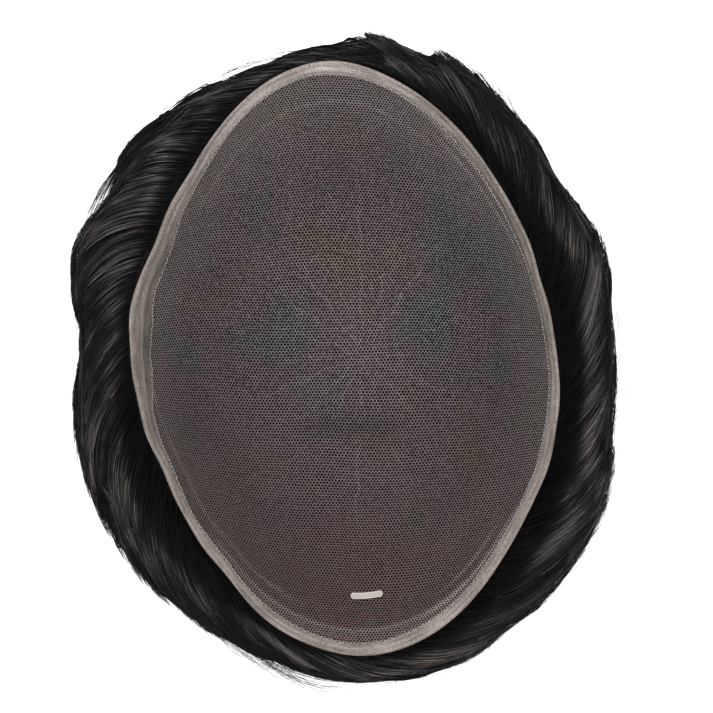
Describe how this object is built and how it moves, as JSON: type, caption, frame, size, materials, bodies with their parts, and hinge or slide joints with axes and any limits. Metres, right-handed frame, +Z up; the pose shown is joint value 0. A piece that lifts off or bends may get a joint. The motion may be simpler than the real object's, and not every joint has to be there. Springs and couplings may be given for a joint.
{
  "type": "toupee hairpiece",
  "caption": "Oval toupee of dark swept hair on a fine lace base, lying on its hair with the hollow inside of the base facing up.",
  "frame": {"origin": "on the surface that the hair rests on, straight below the deepest point of the base", "axes": "+Y towards the front hairline, +Z up out of the hollow of the base, +X to the right as the inside is looked at"},
  "size_m": [0.2022, 0.2403, 0.0747],
  "materials": {
    "lace": "matte",
    "folded_lace": "matte",
    "tape": "satin",
    "hair": "satin"
  },
  "bodies": {
    "root": {"lace_base": "lace", "edge_hem": "folded_lace", "sewn_tape": "tape", "hair": "hair"}
  },
  "joints": []
}
